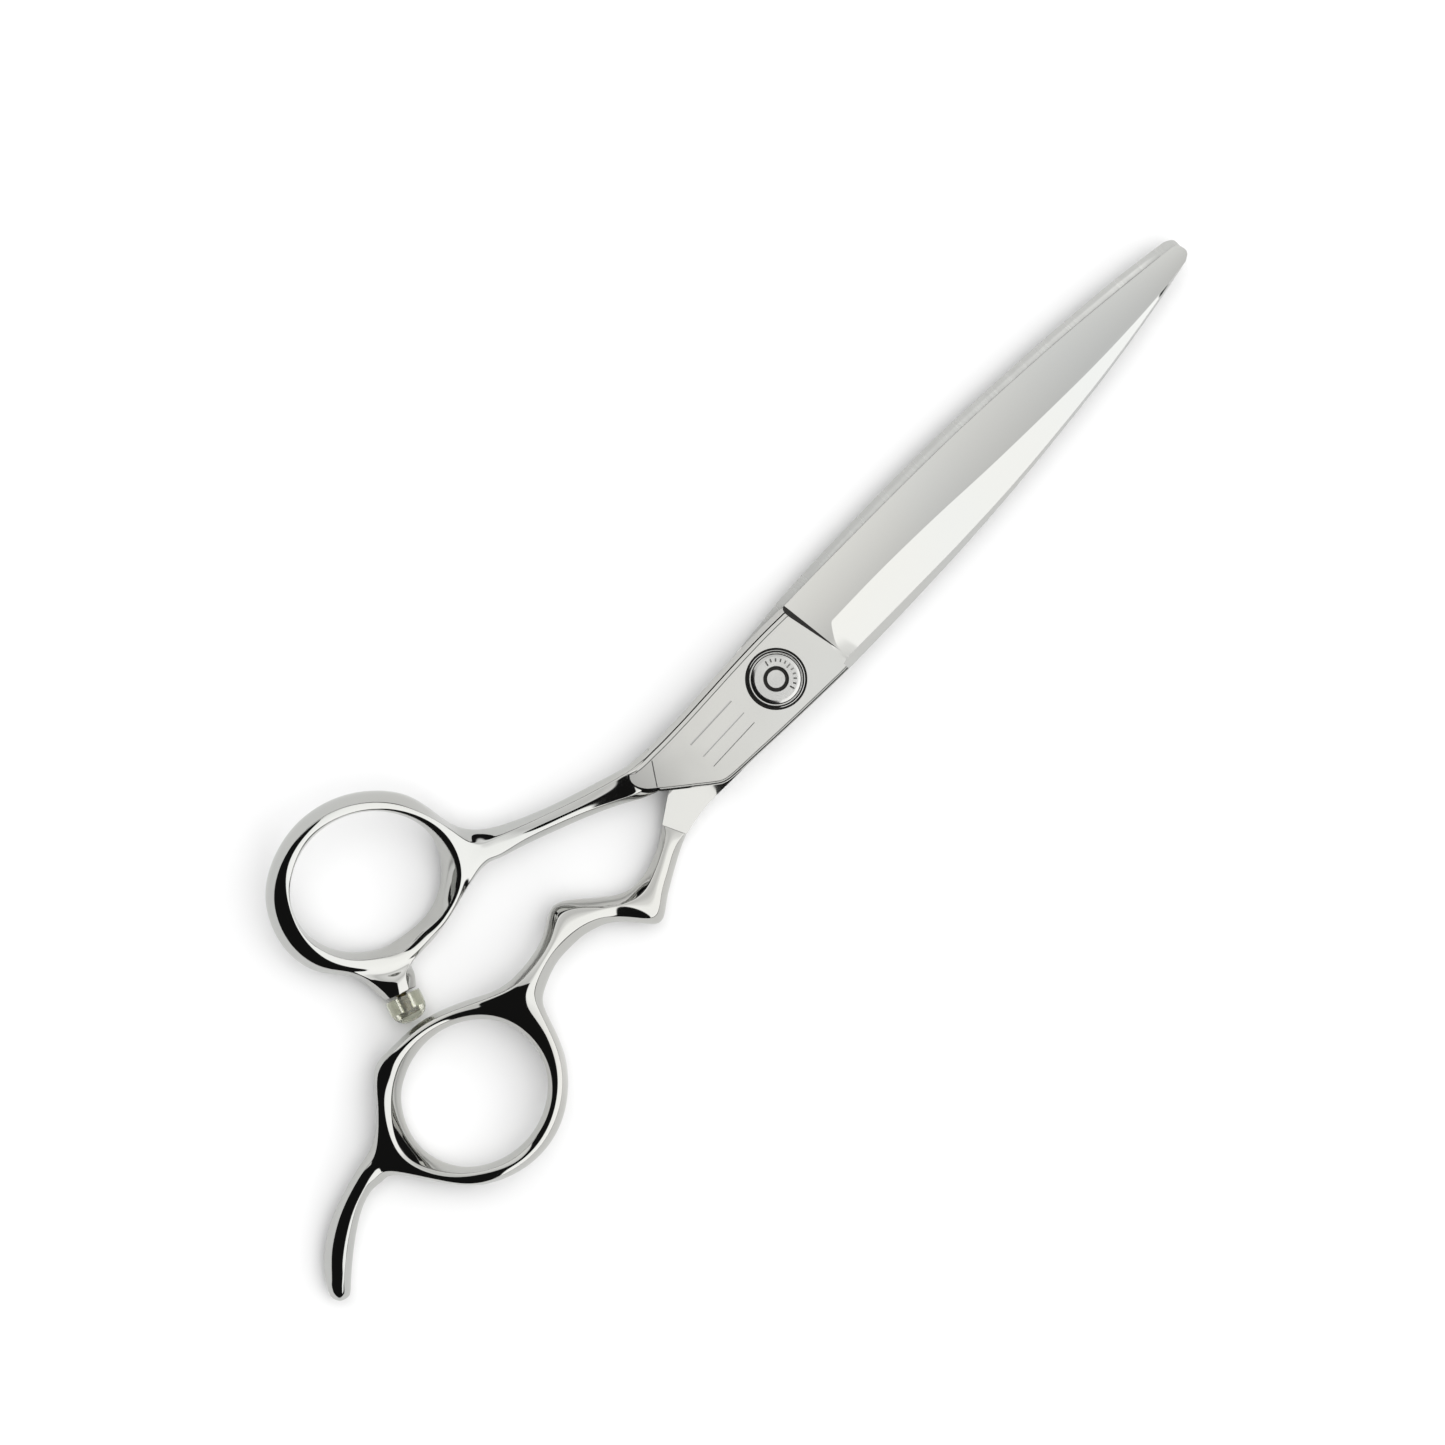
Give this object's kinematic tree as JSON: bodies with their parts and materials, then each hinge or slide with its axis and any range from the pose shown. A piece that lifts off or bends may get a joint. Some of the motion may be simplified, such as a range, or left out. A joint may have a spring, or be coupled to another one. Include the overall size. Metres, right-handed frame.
{
  "type": "hair cutting shears",
  "caption": "Left-handed hair cutting shears with polished sword-shaped blades, flush tension nut, oval finger rings, finger rest and clear bumper.",
  "frame": {"origin": "on the pivot axis, in the flat back face of the finger half (the screw head's face)", "axes": "+X along the closed blades to the tips, +Y to the thumb ring, +Z from the finger half to the thumb half and its tension nut"},
  "size_m": [0.1802, 0.0541, 0.0121],
  "materials": {
    "blade_steel": "ground and polished, satin on the inner faces",
    "handle_steel": "mirror polished",
    "screw_steel": "fine turned",
    "spring_steel": "blued satin",
    "bearing_plastic": "natural, smooth",
    "bumper_clear": "clear, glossy"
  },
  "bodies": {
    "finger_half": {"finger_blade": "blade_steel", "finger_handle": "handle_steel", "pivot_screw": "screw_steel", "blade_washer": "bearing_plastic", "click_spring": "spring_steel"},
    "thumb_half": {"thumb_blade": "blade_steel", "thumb_handle": "handle_steel", "pivot_bush": "bearing_plastic", "nut_ring": "screw_steel", "thrust_washer": "spring_steel", "bumper_stud": "screw_steel", "bumper": "bumper_clear"},
    "tension_dial": {"tension_nut": "screw_steel"}
  },
  "joints": [
    {"name": "blade_pivot", "type": "hinge", "parent": "finger_half", "child": "thumb_half", "pos_m": [0, 0, 0.003], "axis": [0, 0, -1], "range_deg": [0, 90]},
    {"name": "dial_turn", "type": "hinge", "parent": "finger_half", "child": "tension_dial", "pos_m": [0, 0, 0.0057], "axis": [0, 0, 1], "range_deg": [-90, 180]}
  ]
}
